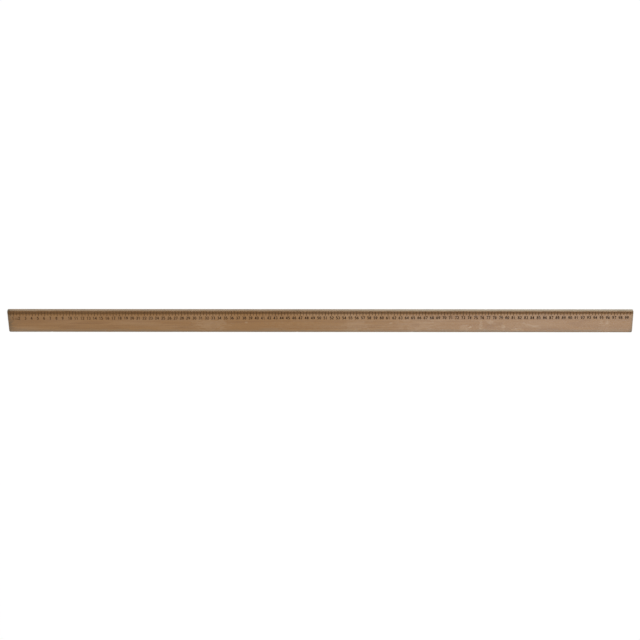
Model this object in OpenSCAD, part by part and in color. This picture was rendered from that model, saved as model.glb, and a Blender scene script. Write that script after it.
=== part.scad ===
// Wooden metre ruler: one straight stick, with a millimetre scale printed along one edge.
// It lies on its back. X runs along the scale, with the zero end at -X and the hundred end
// at +X. The graduated edge faces +Y and the printed face +Z. The origin is the middle of
// the back face. Both ends are cut true, so the stick is exactly as long as its scale.

/* [Stick] */
// Length of the stick, from the zero end to the hundred end
stick_l = 1000; // [300:10:1500]
// Width of the face
stick_w = 40; // [20:1:80]
// Thickness of the stick
stick_t = 6; // [3:0.5:15]
// Radius of the four corners, seen from above
corner_r = 2; // [1.5:0.5:3]
// Rounding of all edges round the face and round the back
edge_r = 0.5; // [0.2:0.1:0.7]

/* [Scale] */
// Distance from each mark to the next
mark_pitch = 1; // [1:0.5:2.5]
// Width of the millimetre marks
mark_w = 0.5; // [0.2:0.05:0.7]
// Width of the half-centimetre marks
half_mark_w = 0.7; // [0.2:0.05:0.9]
// Width of the centimetre marks
cm_mark_w = 0.8; // [0.2:0.05:0.9]
// How far the millimetre marks reach in from the graduated edge
mm_reach = 5.5; // [3:0.5:6.5]
// How far the half-centimetre marks reach in from the graduated edge
half_reach = 8; // [4:0.5:9]
// How far the centimetre marks reach in from the graduated edge
cm_reach = 9; // [5:0.5:12]
// How much further in the print lies at the zero end than at the hundred end: it is a little askew
print_slant = 2.2; // [0:0.2:3]
// Bare strip between the rounded edge and the start of the marks
edge_gap = 0.1; // [0:0.05:0.5]
// Thickness of the printed ink
ink_t = 0.05; // [0.02:0.01:0.1]

/* [Hidden] */

// Steps of mark_pitch from one centimetre mark to the next, and to the half
steps_per_cm = 10;
steps_per_half = 5;
// Least distance from an end to the middle of a mark, so that the mark lies on the flat
end_bare = edge_r + max(mark_w, half_mark_w, cm_mark_w) / 2;
// First and last mark: the ends themselves stand for zero and one hundred
first_mark = ceil(end_bare / mark_pitch);
last_mark = floor((stick_l - end_bare) / mark_pitch);
mark_numbers = [first_mark:last_mark];
// Sides of a full circle at the roundings
round_fn = 64;

wood = [0.62, 0.47, 0.33];
ink = [0.14, 0.1, 0.07];

// Place of a mark along the stick
function mark_x(number) = number * mark_pitch - stick_l / 2;

// Y where the flat of the face ends, seen along a mark whose outer side lies at x.
// Near an end it follows the rounded corner, and elsewhere the rounded edge.
function flat_end_y(x) =
  let (flat_r = corner_r - edge_r)
  let (into_corner = max(0, abs(x) - (stick_l / 2 - corner_r)))
  stick_w / 2 - corner_r + sqrt(flat_r * flat_r - into_corner * into_corner);

// Y where a mark starts, just inside the flat of the face
function mark_start_y(number, width) =
  flat_end_y(abs(mark_x(number)) + width / 2) - edge_gap;

// Y where a mark of the given reach ends, on the slanting line of the print
function mark_end_y(number, reach) =
  stick_w / 2 - reach + print_slant * mark_x(number) / stick_l;

// Flat bar along X, with its four long edges rounded
module edged_bar(length, width) {
  for (side = [-1, 1])
    for (z = [edge_r, stick_t - edge_r])
      translate([-length / 2, side * (width / 2 - edge_r), z])
        rotate([0, 90, 0])
          cylinder(r = edge_r, h = length, $fn = round_fn);
  translate([-length / 2, -width / 2, edge_r])
    cube([length, width, stick_t - 2 * edge_r]);
  translate([-length / 2, edge_r - width / 2, 0])
    cube([length, width - 2 * edge_r, stick_t]);
}

// Round post at a corner, with its top and bottom edges rounded
module corner_post() {
  rotate_extrude($fn = round_fn) {
    square([corner_r - edge_r, stick_t]);
    translate([0, edge_r])
      square([corner_r, stick_t - 2 * edge_r]);
    for (z = [edge_r, stick_t - edge_r])
      translate([corner_r - edge_r, z])
        circle(r = edge_r, $fn = round_fn);
  }
}

// The wooden stick: a long bar, a cross bar that reaches both ends, and four corner posts
module stick() {
  color(wood)
    union() {
      edged_bar(stick_l - 2 * corner_r, stick_w);
      rotate([0, 0, 90])
        edged_bar(stick_w - 2 * corner_r, stick_l);
      for (end = [-1, 1])
        for (side = [-1, 1])
          translate([end * (stick_l / 2 - corner_r), side * (stick_w / 2 - corner_r), 0])
            corner_post();
    }
}

// Printed marks with the given numbers, one bar of ink each, that lie on the face
module marks(numbers, width, reach) {
  color(ink)
    for (number = numbers) {
      start_y = mark_start_y(number, width);
      end_y = mark_end_y(number, reach);
      translate([mark_x(number) - width / 2, end_y, stick_t])
        cube([width, start_y - end_y, ink_t]);
    }
}

module millimetre_marks() {
  marks([for (i = mark_numbers) if (i % steps_per_half != 0) i], mark_w, mm_reach);
}

module half_centimetre_marks() {
  marks([for (i = mark_numbers) if (i % steps_per_cm == steps_per_half) i], half_mark_w, half_reach);
}

module centimetre_marks() {
  marks([for (i = mark_numbers) if (i % steps_per_cm == 0) i], cm_mark_w, cm_reach);
}

stick();
millimetre_marks();
half_centimetre_marks();
centimetre_marks();
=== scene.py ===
"""Dresses a wooden metre ruler: varnished wood, printed scale and numbers, floor, lamps and camera."""

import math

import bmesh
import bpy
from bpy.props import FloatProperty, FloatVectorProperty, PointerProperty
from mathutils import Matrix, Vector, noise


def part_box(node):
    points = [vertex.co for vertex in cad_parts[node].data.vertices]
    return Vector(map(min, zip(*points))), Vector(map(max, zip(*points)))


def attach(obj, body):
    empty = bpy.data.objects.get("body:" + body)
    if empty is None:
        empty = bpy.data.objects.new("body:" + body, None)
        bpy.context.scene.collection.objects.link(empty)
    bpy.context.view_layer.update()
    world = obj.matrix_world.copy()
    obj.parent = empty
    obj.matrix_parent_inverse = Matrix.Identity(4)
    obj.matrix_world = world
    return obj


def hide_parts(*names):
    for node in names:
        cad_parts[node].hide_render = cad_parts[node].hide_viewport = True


bl_info = {
    "name": "Wooden Metre Ruler",
    "version": (1, 0, 0),
    "blender": (4, 5, 0),
    "location": "View3D > Sidebar > Ruler",
    "description": "Finishes a wooden metre ruler with grain, varnish and a printed scale",
    "category": "Object",
}

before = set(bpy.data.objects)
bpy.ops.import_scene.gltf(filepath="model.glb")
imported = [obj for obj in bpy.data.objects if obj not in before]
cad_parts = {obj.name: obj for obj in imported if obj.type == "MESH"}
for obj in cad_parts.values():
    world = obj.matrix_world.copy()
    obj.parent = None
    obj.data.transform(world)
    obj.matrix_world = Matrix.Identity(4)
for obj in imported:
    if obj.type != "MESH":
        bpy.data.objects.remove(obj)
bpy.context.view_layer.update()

face_low, face_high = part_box("stick")
FINE_MARKS = "millimetre_marks"
MARK_NODES = (FINE_MARKS, "half_centimetre_marks", "centimetre_marks")
BODY = "root"
MM = 0.001
CENTIMETRE = 10 * MM
# The stick's length, width and thickness in millimetres, for the finishes
LENGTH = (face_high.x - face_low.x) / MM
WIDTH = (face_high.y - face_low.y) / MM
THICK = face_high.z / MM

# How finely the stick is made: steps along a long side, along an end, round a corner and round an edge
LONG_STATIONS = 800
END_STATIONS = 32
CORNER_BENDS = 9
EDGE_BENDS = 5

# Wear of the rounded edges: how many waves it has to a metre, how many times as narrow the fine waves
# are, and what share of the rounding the wide and the fine waves change
EDGE_WAVES = 45
FINE_WAVES = 9
EDGE_WEAR = 0.22
FINE_EDGE_WEAR = 0.10
# The most that wear rounds the edge along the scale, where the marks start, as a share of its rounding
SCALE_EDGE_MOST = 1.1
# How far a knock reaches along the edge, in millimetres
NICK_REACH = 2.2
# Places where the edges have been knocked: X and Y from the middle of the stick, and how much
# rounder the edge is there, all in millimetres
EDGE_NICKS_UPPER = (
    (-431.0, -20.0, 0.5), (-212.0, -20.0, 0.35), (-36.0, -20.0, 0.6), (148.0, -20.0, 0.4),
    (301.0, -20.0, 0.55), (463.0, -20.0, 0.45), (-499.4, -19.4, 0.5), (499.4, -19.4, 0.6),
)
EDGE_NICKS_LOWER = (
    (-388.0, -20.0, 0.45), (-95.0, 20.0, 0.5), (77.0, -20.0, 0.4), (266.0, 20.0, 0.6),
    (412.0, 20.0, 0.35), (-499.4, 19.4, 0.5), (499.4, -19.4, 0.4),
)

# Where the heart of the tree lies, from the middle of the back of the stick, in millimetres
PITH = (0.0, 9.0, -48.0)
# Sizes of the patterns in the wood, the varnish and the ink: along the stick, across it and through it,
# all in millimetres
BENDS = (230.0, 70.0, 70.0)
RIPPLES = (45.0, 14.0, 14.0)
UNEVEN_RINGS = (300.0, 9.0, 9.0)
CLOUDS = (110.0, 16.0, 16.0)
STREAKS = (80.0, 1.0, 1.0)
FIBRES = (16.0, 0.16, 0.16)
PORES = (5.0, 0.24, 0.24)
FLECKS = (3.0, 0.55, 0.55)
PATCHES = (9.0, 3.0, 3.0)
SMEARS = (26.0, 2.5, 2.5)
VARNISH_WAVES = (28.0, 5.0, 5.0)
INK_SPECKS = (0.5, 0.5, 0.5)
INK_PATCHES = (14.0, 6.0, 6.0)
# How far the bends and the ripples move a fibre across the stick, in millimetres, and how much of
# that they also move it through the stick
BEND_DEPTH = 15.0
RIPPLE_DEPTH = 1.2
THROUGH_SHARE = 0.6
# How many rings the unevenness moves a growth ring
RING_SHIFT = 3.0

# Spots on the face: pale ones, partly left by wear and partly painted sheen, and dark stains. Each has
# its place from the middle of the stick and reach along and across it, all in millimetres, then
# clockwise turn in radians and strength
PALE_SPOTS_AND_SHEEN = (
    ((-173.5, -5.0), (36.0, 16.0), 0.0, 0.18),
    ((-116.5, -1.5), (3.0, 2.4), 0.0, 0.25),
    ((57.0, 0.0), (150.0, 60.0), 0.0, 0.075),
    ((59.0, -4.0), (30.0, 20.0), 0.0, 0.14),
    ((114.5, -2.5), (4.4, 2.4), 0.0, 0.22),
    ((158.5, -2.0), (44.0, 20.0), 0.0, 0.09),
    ((232.5, -11.5), (10.0, 8.0), 0.0, 0.2),
    ((241.5, -10.0), (3.0, 2.6), 0.0, 0.4),
    ((258.5, -5.5), (3.8, 12.0), 0.0, 0.2),
    ((273.5, -1.0), (10.0, 5.0), 0.0, 0.25),
    ((294.5, -9.5), (4.0, 7.5), 0.0, 0.28),
    ((316.0, -15.0), (12.0, 3.6), 0.0, 0.2),
    ((339.5, -7.8), (24.0, 3.6), 0.25, 0.2),
    ((450.5, -0.8), (3.2, 6.5), 0.0, 0.22),
    ((456.5, -11.0), (14.0, 12.0), 0.0, 0.08),
    ((459.5, -0.5), (3.8, 6.5), 0.0, 0.25),
)
STAINED_SPOTS = (
    ((-206.5, -6.5), (6.0, 3.0), 0.0, 0.3),
    ((-170.5, -9.5), (7.0, 6.0), 0.0, 0.2),
    ((154.5, -6.5), (11.0, 4.5), 0.0, 0.28),
    ((272.0, -9.5), (12.0, 6.5), 0.0, 0.38),
)
# Smudges of hands in the same form, at the middle of the zero end and in the two lower corners, and
# without its strength the one in the upper corner of the zero end
THUMB_SMUDGES = (
    ((-LENGTH / 2, -2.0), (9.0, 30.0), 0.0, 0.38),
    ((-LENGTH / 2, -2.0), (22.0, 34.0), 0.0, 0.14),
)
LOWER_SMUDGES = (
    ((-LENGTH / 2, -WIDTH / 2), (7.0, 8.0), 0.0, 0.4),
    ((LENGTH / 2, -WIDTH / 2), (7.0, 8.0), 0.0, 0.4),
)
UPPER_SMUDGE = ((-LENGTH / 2, 16.0), (4.5, 11.0), 0.0)
# How much of the varnish is left where it has dulled
DULLED_VARNISH = 0.3

# The largest turn between two points of a round stroke, in degrees
STROKE_BEND = 12
# The cosine of half the turn at the sharpest corner of a stroke that is still mitred in full
MITRE_LEAST = 0.55
# The most that the two ends of a closed line of points lie apart
CLOSED_GAP = 1e-6
# Width and middle of each letter of the unit sign, as shares of their height
SIGN_LETTERS = {"c": (0.8, -0.72), "m": (1.25, 0.55)}

# How far the floor lies below the back of the stick, how near to it light passes through the floor,
# and how far the floor reaches, all in metres
FLOOR_DROP = 0.00005
FLOOR_TOUCH = 0.0003
FLOOR_REACH = 12.0
# How much of the floor is plain white where the camera sees it, and how bright that white is
FLOOR_WHITE_SHARE = 0.88
FLOOR_WHITE = 1.05
# Each lamp's place, the point that it faces, and its size along and across, in metres
KEY_LAMP = ((0.1, 1.0, 1.9), (0.0, 0.0, 0.0), (1.6, 1.2))
SHEEN_LAMP = ((0.68, -0.86, 1.35), (0.2, 0.0, 0.0), (1.0, 0.6))
# The point of the face that the camera aims at, from its middle, in millimetres
CAMERA_AIM = (1.27, 3.12)
WHITE = (1.0, 1.0, 1.0, 1.0)


def colour(name, description, default):
    """A colour property, in the renderer's own linear values."""
    return FloatVectorProperty(
        name=name, description=description, default=default,
        subtype="COLOR", size=3, min=0.0, max=1.0,
    )


def length(name, description, default):
    """A length property, in metres."""
    return FloatProperty(
        name=name, description=description, default=default,
        subtype="DISTANCE", unit="LENGTH", min=0.0,
    )


def share(name, description, default):
    """A property that runs from none to all."""
    return FloatProperty(
        name=name, description=description, default=default,
        subtype="FACTOR", min=0.0, max=1.0,
    )


def angle(name, description, degrees):
    """An angle property, given here in degrees."""
    return FloatProperty(
        name=name, description=description, default=math.radians(degrees),
        subtype="ANGLE", unit="ROTATION",
    )


def power(name, description, default):
    """A property for the power of a lamp."""
    return FloatProperty(
        name=name, description=description, default=default,
        subtype="POWER", unit="POWER", min=0.0,
    )


class RulerWoodSettings(bpy.types.PropertyGroup):
    """The stick, its wood and its varnish."""

    corner: length("Corner radius", "Radius of the four corners, seen from above", 0.002)
    edge: length("Edge rounding", "Rounding of the edges round the face and round the back", 0.0005)
    body: colour("Wood", "Wood between the growth rings, under the varnish", (0.290, 0.152, 0.056))
    late: colour("Late wood", "Dark lines between the growth rings", (0.190, 0.088, 0.030))
    fleck: colour("Flecks", "Short dark flecks along the fibre", (0.110, 0.048, 0.016))
    worn: colour("Worn wood", "Bare wood where the varnish has rubbed off", (0.500, 0.370, 0.250))
    grime: colour("Grime", "Dirt that handling has left", (0.070, 0.057, 0.032))
    # Colour of the painted shade along the lower edge of the face
    held: colour("Held edge", "Wood along the lower edge, greyed by hands", (0.195, 0.158, 0.112))
    # Pale colour of the narrow sides: partly unvarnished wood greyed with age, partly painted sheen
    side: colour("Bare sides", "Bare wood of the sides, greyed with age", (0.480, 0.400, 0.290))
    ring_width: length("Ring width", "Width of one growth ring", 0.0019)
    varnish: share("Varnish", "Weight of the clear varnish", 0.6)
    gloss_roughness: share("Varnish roughness", "Roughness of the varnish", 0.22)


class RulerPrintSettings(bpy.types.PropertyGroup):
    """The printed scale."""

    ink: colour("Ink", "Dry printing ink", (0.018, 0.007, 0.002))
    ink_worn: colour("Worn ink", "Wood that shows where the ink has worn thin", (0.170, 0.085, 0.034))
    fine_worn: share("Wear of fine marks", "How much the millimetre marks are worn at least", 0.22)
    slant: length("Slant", "How much further in the print lies at the zero end", 0.0022)
    digit_height: length("Digit height", "Height of the digits", 0.0056)
    digit_width: length("Digit width", "Width of a round digit", 0.0030)
    digit_stroke: length("Digit stroke", "Width of the lines that the digits are drawn with", 0.00100)
    digit_pitch: length("Digit pitch", "Distance between two digits of one number", 0.0034)
    digit_middle: length("Digit middle", "From the graduated edge to the middle of the digits", 0.0129)
    sign_height: length("Sign height", "Height of the small letters of the unit sign", 0.0022)
    sign_stroke: length("Sign stroke", "Width of the lines of the unit sign", 0.00042)
    sign_place: length("Sign place", "From the zero end to the middle of the unit sign", 0.0137)
    thickness: length("Ink thickness", "How far the ink stands on the face", 0.00005)


class RulerStageSettings(bpy.types.PropertyGroup):
    """Floor, lamps and camera."""

    floor: colour("Floor", "Colour of the pale floor", (0.86, 0.86, 0.86))
    tilt: angle("Tilt", "How far the camera leans from square to the face to the graduated side", 32.47)
    turn: angle("Turn", "How far the camera stands round towards the hundred end", 1.5)
    roll: angle("Roll", "Turn of the picture about the line of sight", -0.038)
    distance: length("Distance", "From the camera to the face", 3.339)
    lens: FloatProperty(
        name="Lens", description="Focal length of the camera, in millimetres", default=117.4,
        subtype="DISTANCE_CAMERA", unit="CAMERA", min=1.0,
    )
    key_power: power("Key lamp", "Power of the large lamp", 24.0)
    sheen_power: power("Sheen lamp", "Power of the lamp that the varnish mirrors", 6.2)
    sky: FloatProperty(
        name="Sky", description="Strength of the even light from all round", default=0.45, min=0.0,
    )


class Graph:
    """The node tree of a material or of the sky, with a short call for each node that they use."""

    def __init__(self, block):
        block.use_nodes = True
        self.block = block
        self.nodes = block.node_tree.nodes
        self.links = block.node_tree.links
        self.nodes.clear()

    def feed(self, socket, value):
        """Links another socket in, or sets a constant."""
        if isinstance(value, bpy.types.NodeSocket):
            self.links.new(value, socket)
        else:
            socket.default_value = value

    def add(self, kind, inputs, **settings):
        """Adds a node, with its settings made and its inputs fed by name or by number."""
        node = self.nodes.new(kind)
        for key, value in settings.items():
            setattr(node, key, value)
        for key, value in inputs.items():
            self.feed(node.inputs[key], value)
        return node

    def math(self, operation, *values, clamp=False):
        """Works on numbers."""
        inputs = dict(enumerate(values))
        return self.add("ShaderNodeMath", inputs, operation=operation, use_clamp=clamp).outputs[0]

    def vector(self, operation, *values):
        """Works on points and directions."""
        inputs = dict(enumerate(values))
        return self.add("ShaderNodeVectorMath", inputs, operation=operation).outputs[0]

    def reach(self, vector):
        """How long a vector is."""
        return self.add("ShaderNodeVectorMath", {0: vector}, operation="LENGTH").outputs["Value"]

    def noise(self, point, size, detail=2.0, roughness=0.5):
        """Cloudy noise, whose patches have the size given along each axis."""
        place = self.vector("DIVIDE", point, size)
        inputs = {"Vector": place, "Scale": 1.0, "Detail": detail, "Roughness": roughness}
        return self.add("ShaderNodeTexNoise", inputs).outputs["Fac"]

    def ramp(self, value, low, high, at_low=0.0, at_high=1.0):
        """Gives at_low up to the value low, at_high from high on, and runs smoothly between them."""
        inputs = {"Value": value, "From Min": low, "From Max": high, "To Min": at_low, "To Max": at_high}
        node = self.add("ShaderNodeMapRange", inputs, interpolation_type="SMOOTHSTEP")
        return node.outputs["Result"]

    def mix(self, amount, first, second):
        """Mixes two colours. The node's inputs share their names, so they are fed by number."""
        inputs = {0: amount}
        for key, tone in ((6, first), (7, second)):
            inputs[key] = tone if isinstance(tone, bpy.types.NodeSocket) else (*tone, 1.0)
        return self.add("ShaderNodeMix", inputs, data_type="RGBA").outputs[2]

    def mix_shaders(self, amount, first, second):
        """Mixes two shader nodes."""
        return self.add("ShaderNodeMixShader", {0: amount, 1: first.outputs[0], 2: second.outputs[0]})

    def bump(self, shader, socket, height, strength, distance):
        """Lets a shader node's surface or its varnish rise and sink, by a distance in metres."""
        inputs = {"Strength": strength, "Distance": distance, "Height": height}
        self.feed(shader.inputs[socket], self.add("ShaderNodeBump", inputs).outputs[0])

    def surface(self, shader, output="ShaderNodeOutputMaterial"):
        """Makes a shader node the one that shows, and gives the finished material or sky."""
        self.add(output, {"Surface": shader.outputs[0]})
        return self.block


class Place:
    """Sockets that say where a point of the ruler lies, in millimetres in its own frame."""

    def __init__(self, graph):
        where = graph.add("ShaderNodeTexCoord", {}).outputs
        self.point = graph.vector("MULTIPLY", where["Object"], (1 / MM, 1 / MM, 1 / MM))
        parts = graph.add("ShaderNodeSeparateXYZ", {"Vector": self.point}).outputs
        self.x, self.y, self.z = parts["X"], parts["Y"], parts["Z"]
        self.from_graduated = graph.math("SUBTRACT", WIDTH / 2, self.y)
        self.from_lower = graph.math("SUBTRACT", WIDTH, self.from_graduated)
        lean = bpy.context.scene.ruler_print.slant / MM / LENGTH
        self.down_print = graph.math("MULTIPLY_ADD", self.x, lean, self.from_graduated)
        self.from_end = graph.math("SUBTRACT", LENGTH / 2, graph.math("ABSOLUTE", self.x))
        self.on_face = graph.ramp(self.z, THICK - 0.3, THICK - 0.1)
        normal = graph.vector("ABSOLUTE", where["Normal"])
        facing = graph.add("ShaderNodeSeparateXYZ", {"Vector": normal}).outputs
        self.faces_end = graph.ramp(facing["X"], 0.5, 0.8)
        self.faces_side = graph.ramp(facing["Y"], 0.5, 0.9)

    def from_edge(self, graph):
        """Distance to the nearest edge: the middle one of the distances to an end, a side and a face."""
        from_side = graph.math("SUBTRACT", WIDTH / 2, graph.math("ABSOLUTE", self.y))
        from_face = graph.math("MINIMUM", self.z, graph.math("SUBTRACT", THICK, self.z))
        least = graph.math("MINIMUM", self.from_end, from_side)
        most = graph.math("MAXIMUM", self.from_end, from_side)
        return graph.math("MAXIMUM", least, graph.math("MINIMUM", most, from_face))


class Wood:
    """The colour of the wood while it is built up in layers, and the patterns that they share."""

    def __init__(self, graph, settings):
        self.graph, self.settings, self.place = graph, settings, Place(graph)
        self.fibre = grain_point(graph, self.place.point)
        self.streaks = graph.noise(self.fibre, STREAKS, detail=3.0)
        self.fibres = graph.noise(self.fibre, FIBRES)
        self.patchy = graph.noise(self.place.point, PATCHES, detail=3.0)
        self.along_fibres = graph.ramp(self.fibres, 0.35, 0.62, 0.2, 1.55)
        self.ragged = graph.ramp(self.patchy, 0.3, 0.7, -0.35, 0.35)
        self.tone = settings.body

    def stain(self, amount, other):
        """Mixes another colour in evenly."""
        self.tone = self.graph.mix(amount, self.tone, other)

    def let_in(self, amount, other):
        """Lets another colour in, unevenly, because it follows the fibres: dirt, wear, painted shade and
        painted sheen.
        """
        self.stain(self.graph.math("MULTIPLY", amount, self.along_fibres, clamp=True), other)

    def smudge(self, middle, reach, turn, strength, other):
        """Lets another colour in round a place, given in millimetres, with a soft ragged border."""
        graph = self.graph
        local = graph.vector("SUBTRACT", self.place.point, (*middle, 0.0))
        inputs = {"Vector": local, "Angle": turn}
        turned = graph.add("ShaderNodeVectorRotate", inputs, rotation_type="Z_AXIS").outputs[0]
        along, across = reach
        scaled = graph.vector("MULTIPLY", turned, (1.0 / along, 1.0 / across, 0.0))
        away = graph.math("ADD", graph.reach(scaled), self.ragged)
        mask = graph.ramp(away, 0.3, 1.0, 1.0, 0.0)
        self.let_in(graph.math("MULTIPLY", mask, strength), other)


def grain_point(graph, point):
    """The point, moved across and through the stick, because fibres never run quite straight."""
    bend = graph.noise(point, BENDS, detail=1.0)
    ripple = graph.noise(point, RIPPLES, detail=1.0)
    rippled = graph.math("MULTIPLY", ripple, RIPPLE_DEPTH)
    across = graph.math("MULTIPLY_ADD", bend, BEND_DEPTH, rippled)
    through = graph.math("MULTIPLY", across, THROUGH_SHARE)
    shift = graph.add("ShaderNodeCombineXYZ", {"Y": across, "Z": through})
    return graph.vector("ADD", point, shift.outputs[0])


def growth_rings(wood):
    """Dark late-wood lines round the pith, each with a soft inner and a sharp outer side."""
    graph = wood.graph
    offset = graph.vector("MULTIPLY", graph.vector("SUBTRACT", wood.fibre, PITH), (0.0, 1.0, 1.0))
    count = graph.math("DIVIDE", graph.reach(offset), wood.settings.ring_width / MM)
    uneven = graph.noise(wood.fibre, UNEVEN_RINGS, detail=1.0)
    rings = graph.math("ADD", count, graph.math("MULTIPLY", uneven, RING_SHIFT))
    part = graph.math("FRACT", rings)
    rise = graph.ramp(part, 0.35, 0.92)
    fall = graph.ramp(part, 0.92, 1.0, 1.0, 0.0)
    return graph.math("MULTIPLY", rise, fall)


def dashes(wood, cell, thick, chance):
    """Short dashes along the fibre, one in some of the cells of the size given."""
    graph = wood.graph
    inputs = {"Vector": graph.vector("DIVIDE", wood.fibre, cell), "Scale": 1.0, "Randomness": 1.0}
    cells = graph.add("ShaderNodeTexVoronoi", inputs).outputs
    dash = graph.ramp(cells["Distance"], 0.3 * thick, thick, 1.0, 0.0)
    draw = graph.add("ShaderNodeSeparateXYZ", {"Vector": cells["Color"]}).outputs["X"]
    return graph.math("MULTIPLY", dash, graph.ramp(draw, 1.0 - chance, 1.0))


def figured_wood(wood):
    """Clouds, rings, streaks, fibres, pores and flecks. Gives how far they stand up or sink."""
    graph, settings = wood.graph, wood.settings
    cloud = graph.noise(wood.place.point, CLOUDS, detail=3.0)
    wood.stain(graph.ramp(cloud, 0.45, 0.8, 0.0, 0.16), settings.worn)
    ring_depth = graph.ramp(wood.place.faces_end, 0.0, 1.0, 0.3, 0.9)
    wood.stain(graph.math("MULTIPLY", growth_rings(wood), ring_depth), settings.late)
    wood.stain(graph.ramp(wood.streaks, 0.48, 0.8, 0.0, 0.5), settings.late)
    wood.stain(graph.ramp(wood.fibres, 0.45, 0.8, 0.0, 0.5), settings.late)
    pores = dashes(wood, PORES, thick=0.34, chance=0.7)
    wood.stain(graph.math("MULTIPLY", pores, 0.55), settings.late)
    flecks = dashes(wood, FLECKS, thick=0.32, chance=0.8)
    wood.stain(graph.math("MULTIPLY", flecks, 0.65), settings.fleck)
    sunk = graph.math("MULTIPLY", graph.math("ADD", pores, flecks), 0.5)
    return graph.math("SUBTRACT", graph.math("MULTIPLY", wood.fibres, 0.4), sunk)


def rubbed_wood(wood):
    """Dark end grain, pale sides that are partly unvarnished wood and partly painted sheen that grows
    towards the hundred end, and edges rubbed through the varnish.
    """
    graph, settings, place = wood.graph, wood.settings, wood.place
    wood.stain(graph.math("MULTIPLY", place.faces_end, 0.4), settings.late)
    # Painted sheen: the narrow sides are mixed paler towards the hundred end
    pale_side_and_sheen = graph.ramp(place.x, -0.05 * LENGTH, 0.2 * LENGTH, 0.47, 0.93)
    wood.stain(graph.math("MULTIPLY", pale_side_and_sheen, place.faces_side), settings.side)
    reach = graph.ramp(wood.patchy, 0.35, 0.75, 0.1, 0.9)
    rubbed = graph.ramp(graph.math("DIVIDE", place.from_edge(graph), reach), 0.4, 1.0, 1.0, 0.0)
    strength = graph.ramp(place.from_lower, 0.5, 2.0, 0.1, 0.4)
    wood.stain(graph.math("MULTIPLY", rubbed, strength), settings.worn)


def crept_ink(wood):
    """Ink that has crept into the wood between the marks."""
    amount = wood.graph.ramp(wood.place.down_print, 4.5, 7.5, 0.16, 0.0)
    wood.stain(wood.graph.math("MULTIPLY", amount, wood.place.on_face), wood.settings.late)


def held_sides(wood):
    """Smears on the narrow sides, and painted shade along the lower edge of the face, darkest at its
    rim.
    """
    graph, settings, place = wood.graph, wood.settings, wood.place
    smears = graph.noise(place.point, SMEARS, detail=4.0, roughness=0.6)
    smeared = graph.ramp(smears, 0.45, 0.7, 0.0, 0.35)
    wood.let_in(graph.math("MULTIPLY", smeared, place.faces_side), settings.grime)
    # Painted shade: the lower edge of the face is greyed and darkened, darkest at its rim
    near_face = graph.ramp(place.z, THICK - 0.9, THICK - 0.15)
    reach = graph.ramp(smears, 0.3, 0.7, 4.0, 9.0)
    away = graph.math("DIVIDE", place.from_lower, reach)
    held = graph.ramp(away, 0.1, 1.0, 0.62, 0.0)
    wood.let_in(graph.math("MULTIPLY", held, near_face), settings.held)
    rim = graph.ramp(away, 0.0, 0.3, 0.2, 0.0)
    wood.let_in(graph.math("MULTIPLY", rim, near_face), settings.grime)


def dirty_ends(wood):
    """A darker strip along both ends, dirt in the lower corners, and smudges of hands at the zero end.
    """
    graph, grime, place = wood.graph, wood.settings.grime, wood.place
    # The face is darker towards both ends
    ends = graph.math("MULTIPLY", graph.ramp(place.from_end, 1.0, 5.0, 0.3, 0.0), place.on_face)
    uneven = graph.ramp(wood.patchy, 0.25, 0.6, 0.7, 1.1)
    wood.let_in(graph.math("MULTIPLY", ends, uneven), grime)
    for smudge in THUMB_SMUDGES:
        wood.smudge(*smudge, grime)
    fainter_on_end = graph.ramp(place.faces_end, 0.0, 1.0, 0.8, 0.3)
    wood.smudge(*UPPER_SMUDGE, fainter_on_end, grime)
    for smudge in LOWER_SMUDGES:
        wood.smudge(*smudge, grime)


def spotted_face(wood):
    """Pale spots, partly wear and partly painted sheen, and dark stains on the face."""
    graph, settings = wood.graph, wood.settings
    for spots, other in ((PALE_SPOTS_AND_SHEEN, settings.worn), (STAINED_SPOTS, settings.late)):
        for middle, reach, turn, strength in spots:
            on_face = graph.math("MULTIPLY", wood.place.on_face, strength)
            wood.smudge(middle, reach, turn, on_face, other)


def varnish_weight(wood):
    """How much varnish is left: it has dulled along the scale and along the lower edge."""
    graph, varnish = wood.graph, wood.settings.varnish
    dull = DULLED_VARNISH * varnish
    below_scale = graph.ramp(wood.place.down_print, 5.5, 8.5, dull, varnish)
    above_edge = graph.ramp(wood.place.from_lower, 0.6, 4.0, dull, varnish)
    return graph.math("MINIMUM", below_scale, above_edge)


def varnished_wood(settings):
    """Straight-grained, finely flecked wood under satin varnish, worn and handled."""
    graph = Graph(bpy.data.materials.new("varnished_wood"))
    wood = Wood(graph, settings)
    relief = figured_wood(wood)
    rubbed_wood(wood)
    crept_ink(wood)
    held_sides(wood)
    dirty_ends(wood)
    spotted_face(wood)
    shader = graph.add(
        "ShaderNodeBsdfPrincipled",
        {
            "Base Color": wood.tone,
            "Roughness": graph.ramp(wood.streaks, 0.3, 0.7, 0.5, 0.65),
            "Specular IOR Level": 0.1,
            "Coat Weight": varnish_weight(wood),
            "Coat Roughness": settings.gloss_roughness,
            "Coat IOR": 1.5,
        },
    )
    graph.bump(shader, "Normal", relief, strength=0.25, distance=0.00002)
    waves = graph.noise(wood.place.point, VARNISH_WAVES)
    graph.bump(shader, "Coat Normal", waves, strength=0.3, distance=0.0001)
    return graph.surface(shader)


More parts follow.
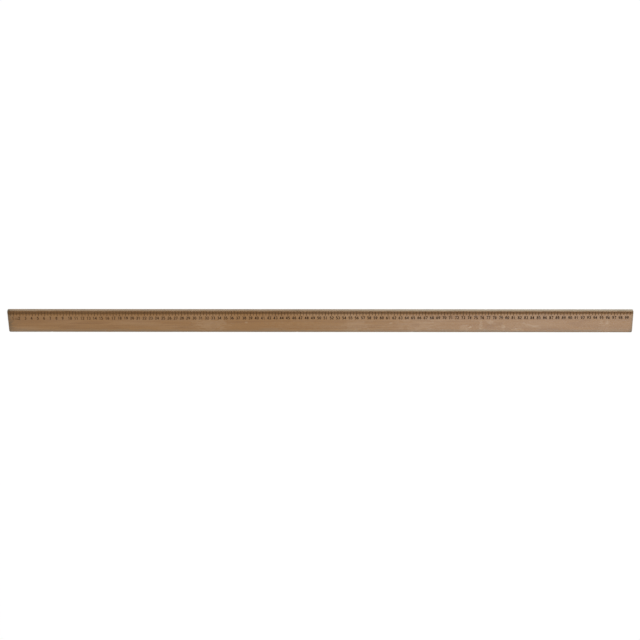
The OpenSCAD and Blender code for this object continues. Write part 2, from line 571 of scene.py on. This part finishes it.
def printing_ink(name, settings, least_worn):
    """Dark brown-black printing ink, worn a little thin towards the zero end."""
    graph = Graph(bpy.data.materials.new(name))
    place = Place(graph)
    specks = graph.noise(place.point, INK_SPECKS, detail=3.0, roughness=0.7)
    patches = graph.noise(place.point, INK_PATCHES)
    age = graph.ramp(place.x, -0.5 * LENGTH, 0.15 * LENGTH, 0.55, 0.0)
    thin = graph.math("ADD", age, graph.ramp(patches, 0.45, 0.8, 0.0, 0.3))
    worn = graph.math("MULTIPLY", graph.ramp(specks, 0.35, 0.65), thin, clamp=True)
    worn = graph.math("MAXIMUM", worn, least_worn)
    shader = graph.add(
        "ShaderNodeBsdfPrincipled",
        {
            "Base Color": graph.mix(worn, settings.ink, settings.ink_worn),
            "Roughness": 0.65,
            "Specular IOR Level": 0.06,
        },
    )
    graph.bump(shader, "Normal", specks, strength=0.2, distance=0.00002)
    return graph.surface(shader)


def ink_material(fine=False):
    """The printing ink, or the thinner one of the millimetre marks, each made once."""
    settings = bpy.context.scene.ruler_print
    name, least_worn = ("fine_ink", settings.fine_worn) if fine else ("printing_ink", 0.0)
    return bpy.data.materials.get(name) or printing_ink(name, settings, least_worn)


def seen_directly(graph):
    """One for what the camera sees straight, in a gloss or through glass, and zero for other light."""
    path = graph.add("ShaderNodeLightPath", {}).outputs
    seen = graph.math("MAXIMUM", path["Is Camera Ray"], path["Is Glossy Ray"])
    return graph.math("MAXIMUM", seen, path["Is Transmission Ray"])


def pale_floor(tone):
    """Matt floor that looks white where light falls on it, and keeps the ruler's shadow.

    It is clear from beneath and right under the ruler, so that the back shows from below."""
    graph = Graph(bpy.data.materials.new("pale_floor"))
    matt = graph.add("ShaderNodeBsdfDiffuse", {"Color": (*tone, 1.0)})
    white = graph.add("ShaderNodeEmission", {"Color": WHITE, "Strength": FLOOR_WHITE})
    lift = graph.math("MULTIPLY", seen_directly(graph), FLOOR_WHITE_SHARE)
    pale = graph.mix_shaders(lift, matt, white)
    beneath = graph.add("ShaderNodeNewGeometry", {}).outputs["Backfacing"]
    ray = graph.add("ShaderNodeLightPath", {}).outputs["Ray Length"]
    touching = graph.math("LESS_THAN", ray, FLOOR_TOUCH)
    clear = graph.add("ShaderNodeBsdfTransparent", {})
    return graph.surface(graph.mix_shaders(graph.math("MAXIMUM", beneath, touching), pale, clear))


def new_mesh(name, points, faces):
    """A mesh of the points and faces given."""
    mesh = bpy.data.meshes.new(name)
    mesh.from_pydata(points, [], faces)
    mesh.update()
    return mesh


def new_object(name, data):
    """An object that shows a mesh, a lamp or a camera in the scene."""
    thing = bpy.data.objects.new(name, data)
    bpy.context.scene.collection.objects.link(thing)
    return thing


def finish_with(thing, material):
    """Gives every face of an object one material."""
    thing.data.materials.clear()
    thing.data.materials.append(material)
    for face in thing.data.polygons:
        face.material_index = 0


def stick_outline(settings):
    """The outline of the stick from above, anticlockwise, as points with the way out of each.

    It starts at the lower corner of the hundred end. Also gives where each long side starts."""
    straight_x, straight_y = face_high.x - settings.corner, face_high.y - settings.corner
    points, long_sides = [], []
    for quarter, (x, y) in enumerate(((1, -1), (1, 1), (-1, 1), (-1, -1))):
        middle = Vector((x * straight_x, y * straight_y))
        for step in range(CORNER_BENDS + 1):
            turn = math.radians(90 * (quarter - 1 + step / CORNER_BENDS))
            out = Vector((math.cos(turn), math.sin(turn)))
            points.append((middle + settings.corner * out, out))
        if quarter % 2 == 1:
            run, count = 2 * straight_x, LONG_STATIONS
            long_sides.append(len(points) - 1)
        else:
            run, count = 2 * straight_y, END_STATIONS
        start, out = points[-1]
        onward = Vector((-out.y, out.x))
        points += [(start + onward * run * step / count, out) for step in range(1, count)]
    return points, long_sides


def worn_edge(settings, point, upper):
    """Rounding of an edge at a point of the outline: uneven by wear, and knocked back at the nicks."""
    # The two edges take different layers of the noise, so that they are worn in different places
    layer = 3.0 if upper else 9.0
    spread = Vector((point.x * EDGE_WAVES, point.y * EDGE_WAVES, layer))
    wide, fine = noise.noise(spread), noise.noise(spread * FINE_WAVES)
    radius = settings.edge * (1.0 + EDGE_WEAR * wide + FINE_EDGE_WEAR * fine)
    if upper and point.y > 0:
        return min(radius, settings.edge * SCALE_EDGE_MOST)
    for x, y, depth in (EDGE_NICKS_UPPER if upper else EDGE_NICKS_LOWER):
        far = (point - Vector((x, y)) * MM).length / (NICK_REACH * MM)
        radius += depth * MM * max(0.0, 1.0 - far * far) ** 2
    return radius


def broad_face(long_sides, count):
    """Faces that fill a ring of the outline: quads from side to side, and one face at each end."""
    upper, lower = long_sides
    faces = []
    for step in range(LONG_STATIONS):
        near, far = upper + step, lower + LONG_STATIONS - step
        faces.append((near, near + 1, (far - 1) % count, far % count))
    faces.append(tuple(range(0, upper + 1)))
    faces.append(tuple(range(upper + LONG_STATIONS, lower + 1)))
    return faces


def stick_mesh(settings):
    """The whole stick: broad faces, narrow sides, round corners and worn round edges."""
    turns = [math.radians(90 * step / EDGE_BENDS) for step in range(EDGE_BENDS + 1)]
    levels = [(False, turn) for turn in reversed(turns)] + [(True, turn) for turn in turns]
    outline, long_sides = stick_outline(settings)
    verts, normals = [], []
    for upper, turn in levels:
        sign = 1.0 if upper else -1.0
        for place, out in outline:
            radius = worn_edge(settings, place, upper)
            inward = place - out * radius * (1.0 - math.cos(turn))
            low = radius * (1.0 - math.sin(turn))
            verts.append((inward.x, inward.y, face_high.z - low if upper else low))
            flat = math.cos(turn)
            normals.append(Vector((out.x * flat, out.y * flat, sign * math.sin(turn))))
    count = len(outline)
    faces = []
    for ring in range(len(levels) - 1):
        here, there = ring * count, (ring + 1) * count
        for index in range(count):
            onward = (index + 1) % count
            faces.append((here + index, here + onward, there + onward, there + index))
    top = (len(levels) - 1) * count
    for face in broad_face(long_sides, count):
        faces.append(tuple(top + index for index in face))
        faces.append(tuple(reversed(face)))
    mesh = new_mesh("worn_stick", verts, faces)
    mesh.shade_smooth()
    mesh.normals_split_custom_set_from_vertices(normals)
    return mesh


def arc(middle_u, middle_v, reach_u, reach_v, start, end):
    """Points along a stretch of an ellipse, from one angle to another, in degrees."""
    steps = max(2, math.ceil(abs(end - start) / STROKE_BEND))
    turns = [math.radians(start + (end - start) * step / steps) for step in range(steps + 1)]
    return [(middle_u + reach_u * math.cos(turn), middle_v + reach_v * math.sin(turn)) for turn in turns]


def digit_strokes():
    """The middle lines of each digit's strokes, in a box one wide and one high.

    Straight ends run past the box, as far out as the round strokes' own half width."""
    past, below = 0.14, -0.1
    six = [arc(0.5, 0.31, 0.5, 0.31, 0, 360), arc(0.88, 0.31, 0.88, 0.69, 88, 180)]
    nine = [[(1 - u, 1 - v) for u, v in stroke] for stroke in six]
    return {
        "0": [arc(0.5, 0.62, 0.5, 0.38, 0, 180) + arc(0.5, 0.38, 0.5, 0.38, 180, 360) + [(1.0, 0.62)]],
        "1": [[(0.08, 0.75), (0.56, 1.0), (0.56, below)]],
        "2": [arc(0.5, 0.7, 0.48, 0.3, 165, -30) + [(0.0, 0.0), (1 + past, 0.0)]],
        "3": [arc(0.47, 0.76, 0.45, 0.24, 150, -90), arc(0.47, 0.26, 0.53, 0.26, 90, -150)],
        "4": [[(0.76, below), (0.76, 1 - below)], [(0.67, 0.96), (-0.02, 0.27), (1 + past, 0.27)]],
        "5": [[(0.98, 1.0), (0.16, 1.0), (0.08, 0.54)], arc(0.45, 0.32, 0.55, 0.32, 135, -150)],
        "6": six,
        "7": [[(-past, 1.0), (1.0, 1.0), (0.34, below)]],
        "8": [arc(0.5, 0.76, 0.42, 0.24, 0, 360), arc(0.5, 0.27, 0.5, 0.27, 0, 360)],
        "9": nine,
    }


def unit_strokes():
    """The middle lines of the strokes of the letters c and m, in boxes one wide and one high."""
    below = -0.12
    arch = arc(0.25, 0.66, 0.25, 0.34, 180, 0)
    next_arch = [(u + 0.5, v) for u, v in arch]
    return {
        "c": [arc(0.5, 0.5, 0.5, 0.5, 50, 310)],
        "m": [[(0.0, below), (0.0, 1.0)], arch + [(0.5, below)], next_arch + [(1.0, below)]],
    }


def mitred_sides(points, closed, width):
    """The two sides of a stroke of even width along a line of points, as pairs of points."""
    count = len(points)
    sides = []
    for index, point in enumerate(points):
        normals = []
        for first, second in ((index - 1, index), (index, index + 1)):
            if closed or (first >= 0 and second < count):
                step = points[second % count] - points[first % count]
                normals.append(Vector((-step.y, step.x)).normalized())
        across = sum(normals, Vector((0.0, 0.0))).normalized()
        mitre = 1.0 / max(across.dot(normals[0]), MITRE_LEAST)
        sides.append((point + across * mitre * width / 2, point - across * mitre * width / 2))
    return sides


def stroke_solid(line, width, thickness):
    """A flat solid of even width along a line of points, mitred at its corners."""
    points = [Vector(point) for point in line]
    closed = (points[0] - points[-1]).length < CLOSED_GAP
    if closed:
        points.pop()
    count = len(points)
    sides = mitred_sides(points, closed, width)
    verts = [(*side, level) for pair in sides for level in (0.0, thickness) for side in pair]
    faces = []
    for index in range(count if closed else count - 1):
        here, there = 4 * index, 4 * ((index + 1) % count)
        for low, high in ((0, 1), (1, 3), (3, 2), (2, 0)):
            faces.append((here + low, there + low, there + high, here + high))
    if not closed:
        last = 4 * (count - 1)
        faces += [(0, 1, 3, 2), (last + 2, last + 3, last + 1, last)]
    mesh = new_mesh("stroke", verts, faces)
    mesh.validate()
    bm = bmesh.new()
    bm.from_mesh(mesh)
    bmesh.ops.recalc_face_normals(bm, faces=bm.faces)
    bm.to_mesh(mesh)
    bm.free()
    return new_object("stroke", mesh)


def letter_solid(strokes, width, height, stroke_width, thickness):
    """The points and faces of one letter, as thin flat ink, with its middle at the origin.

    Its strokes are merged into one solid. They are merged ten thousand times as large, because the
    merge rounds off small distances."""
    large = 10000.0
    run, rise = width - stroke_width, height - stroke_width
    things = []
    for stroke in strokes:
        line = [((u - 0.5) * run * large, (v - 0.5) * rise * large) for u, v in stroke]
        things.append(stroke_solid(line, stroke_width * large, 1.0))
    base = things[0]
    for other in things[1:]:
        merge = base.modifiers.new("merge", "BOOLEAN")
        merge.operation = "UNION"
        merge.solver = "EXACT"
        merge.object = other
    bpy.context.view_layer.update()
    merged = base.evaluated_get(bpy.context.evaluated_depsgraph_get())
    mesh = bpy.data.meshes.new_from_object(merged)
    scale = Vector((1 / large, 1 / large, thickness))
    points = [vertex.co * scale for vertex in mesh.vertices]
    faces = [tuple(face.vertices) for face in mesh.polygons]
    for thing in things:
        data = thing.data
        bpy.data.objects.remove(thing)
        bpy.data.meshes.remove(data)
    bpy.data.meshes.remove(mesh)
    return points, faces


def printed_piece(name, stamps):
    """One inked object of many stamps, each a letter's points and faces with the place of its middle."""
    points, faces = [], []
    for (stamp_points, stamp_faces), place in stamps:
        start = len(points)
        points += [point + place for point in stamp_points]
        faces += [tuple(start + index for index in face) for face in stamp_faces]
    thing = new_object(name, new_mesh(name, points, faces))
    finish_with(thing, ink_material())
    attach(thing, BODY)


def print_row(settings, x):
    """Y of the middle of the digits at a place along the stick, on the slanting line of the print."""
    return face_high.y - settings.digit_middle + settings.slant * x / (face_high.x - face_low.x)


class RULER_OT_wooden_stick(bpy.types.Operator):
    """Makes the stick with its worn edges, grain and varnish"""

    bl_idname = "ruler.wooden_stick"
    bl_label = "Make the wooden stick"

    def execute(self, context):
        settings = context.scene.ruler_wood
        stick = new_object("worn_stick", stick_mesh(settings))
        finish_with(stick, varnished_wood(settings))
        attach(stick, BODY)
        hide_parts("stick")
        return {"FINISHED"}


class RULER_OT_ink_marks(bpy.types.Operator):
    """Gives the millimetre, half-centimetre and centimetre marks their ink"""

    bl_idname = "ruler.ink_marks"
    bl_label = "Ink the marks"

    def execute(self, context):
        for name in MARK_NODES:
            finish_with(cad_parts[name], ink_material(fine=name == FINE_MARKS))
        return {"FINISHED"}


class RULER_OT_print_numbers(bpy.types.Operator):
    """Prints the numbers under the centimetre marks, with a lone digit in the place of the tens"""

    bl_idname = "ruler.print_numbers"
    bl_label = "Print the numbers"

    def execute(self, context):
        settings = context.scene.ruler_print
        sizes = (
            settings.digit_width, settings.digit_height, settings.digit_stroke, settings.thickness,
        )
        digits = {digit: letter_solid(strokes, *sizes) for digit, strokes in digit_strokes().items()}
        stamps = []
        for number in range(1, round((face_high.x - face_low.x) / CENTIMETRE)):
            line = face_low.x + number * CENTIMETRE
            for index, digit in enumerate(str(number)):
                across = line + (index - 0.5) * settings.digit_pitch
                place = Vector((across, print_row(settings, line), face_high.z))
                stamps.append((digits[digit], place))
        printed_piece("numbers", stamps)
        return {"FINISHED"}


class RULER_OT_print_unit_sign(bpy.types.Operator):
    """Prints the small unit sign beside the first number"""

    bl_idname = "ruler.print_unit_sign"
    bl_label = "Print the unit sign"

    def execute(self, context):
        settings = context.scene.ruler_print
        high = settings.sign_height
        place = face_low.x + settings.sign_place
        foot = print_row(settings, place) - settings.digit_height / 2
        stamps = []
        for letter, strokes in unit_strokes().items():
            width, middle = (part * high for part in SIGN_LETTERS[letter])
            solid = letter_solid(strokes, width, high, settings.sign_stroke, settings.thickness)
            stamps.append((solid, Vector((place + middle, foot + high / 2, face_high.z))))
        printed_piece("unit_sign", stamps)
        return {"FINISHED"}


def lay_floor(settings):
    """The wide floor, just below the back of the stick."""
    corners = ((-1, -1), (1, -1), (1, 1), (-1, 1))
    points = [(FLOOR_REACH * x, FLOOR_REACH * y, -FLOOR_DROP) for x, y in corners]
    floor = new_object("floor", new_mesh("floor", points, [(0, 1, 2, 3)]))
    finish_with(floor, pale_floor(settings.floor))


def hang_sky(settings):
    """A sky that looks white and gives a little even light."""
    graph = Graph(bpy.data.worlds.new("sky"))
    strength = graph.ramp(seen_directly(graph), 0.0, 1.0, settings.sky, 1.0)
    shader = graph.add("ShaderNodeBackground", {"Color": WHITE, "Strength": strength})
    bpy.context.scene.world = graph.surface(shader, "ShaderNodeOutputWorld")


def hang_lamp(name, place, aim, size, watts):
    """A large soft lamp that faces the ruler."""
    light = bpy.data.lights.new(name, "AREA")
    light.shape = "RECTANGLE"
    light.size, light.size_y = size
    light.energy = watts
    thing = new_object(name, light)
    thing.location = place
    thing.rotation_euler = (Vector(aim) - Vector(place)).to_track_quat("-Z", "Y").to_euler()


def set_camera(settings):
    """The camera, leaning to the graduated side of the ruler and a little to its hundred end."""
    along = Vector((1.0, 0.0, 0.0))
    up = Vector((0.0, math.cos(settings.tilt), -math.sin(settings.tilt)))
    square = Vector((0.0, math.sin(settings.tilt), math.cos(settings.tilt)))
    right = math.cos(settings.turn) * along - math.sin(settings.turn) * square
    back = math.sin(settings.turn) * along + math.cos(settings.turn) * square
    level, lean = math.cos(settings.roll), math.sin(settings.roll)
    right, up = level * right - lean * up, lean * right + level * up
    data = bpy.data.cameras.new("camera")
    data.sensor_fit = "HORIZONTAL"
    data.sensor_width = 36.0
    data.lens = settings.lens
    data.clip_end = 50.0
    camera = new_object("camera", data)
    aim = Vector((CAMERA_AIM[0] * MM, CAMERA_AIM[1] * MM, face_high.z))
    turned = Matrix((right, up, back)).transposed().to_4x4()
    camera.matrix_world = Matrix.Translation(aim + settings.distance * back) @ turned
    bpy.context.scene.camera = camera


class RULER_OT_stage(bpy.types.Operator):
    """Makes the floor, the sky, the lamps and the camera"""

    bl_idname = "ruler.stage"
    bl_label = "Set the stage"

    def execute(self, context):
        settings = context.scene.ruler_stage
        context.scene.view_settings.view_transform = "Standard"
        lay_floor(settings)
        hang_sky(settings)
        hang_lamp("key_lamp", *KEY_LAMP, settings.key_power)
        hang_lamp("sheen_lamp", *SHEEN_LAMP, settings.sheen_power)
        set_camera(settings)
        return {"FINISHED"}


class RULER_PT_panel(bpy.types.Panel):
    """Lists the steps that dress the ruler"""

    bl_idname = "RULER_PT_panel"
    bl_label = "Metre ruler"
    bl_space_type = "VIEW_3D"
    bl_region_type = "UI"
    bl_category = "Ruler"

    def draw(self, context):
        layout = self.layout
        for step in STEPS:
            layout.operator(step.bl_idname)
        for group in (context.scene.ruler_wood, context.scene.ruler_print, context.scene.ruler_stage):
            box = layout.box()
            for name in group.__annotations__:
                box.prop(group, name)


STEPS = (
    RULER_OT_wooden_stick,
    RULER_OT_ink_marks,
    RULER_OT_print_numbers,
    RULER_OT_print_unit_sign,
    RULER_OT_stage,
)
CLASSES = (RulerWoodSettings, RulerPrintSettings, RulerStageSettings, *STEPS, RULER_PT_panel)


def register():
    """Registers the classes and hangs their settings on the scene."""
    for cls in CLASSES:
        bpy.utils.register_class(cls)
    bpy.types.Scene.ruler_wood = PointerProperty(type=RulerWoodSettings)
    bpy.types.Scene.ruler_print = PointerProperty(type=RulerPrintSettings)
    bpy.types.Scene.ruler_stage = PointerProperty(type=RulerStageSettings)


def unregister():
    """Takes back all that register has added."""
    del bpy.types.Scene.ruler_stage
    del bpy.types.Scene.ruler_print
    del bpy.types.Scene.ruler_wood
    for cls in reversed(CLASSES):
        bpy.utils.unregister_class(cls)


def main():
    """Dresses the ruler."""
    register()
    bpy.ops.ruler.wooden_stick()
    bpy.ops.ruler.ink_marks()
    bpy.ops.ruler.print_numbers()
    bpy.ops.ruler.print_unit_sign()
    bpy.ops.ruler.stage()


if __name__ == "__main__":
    main()
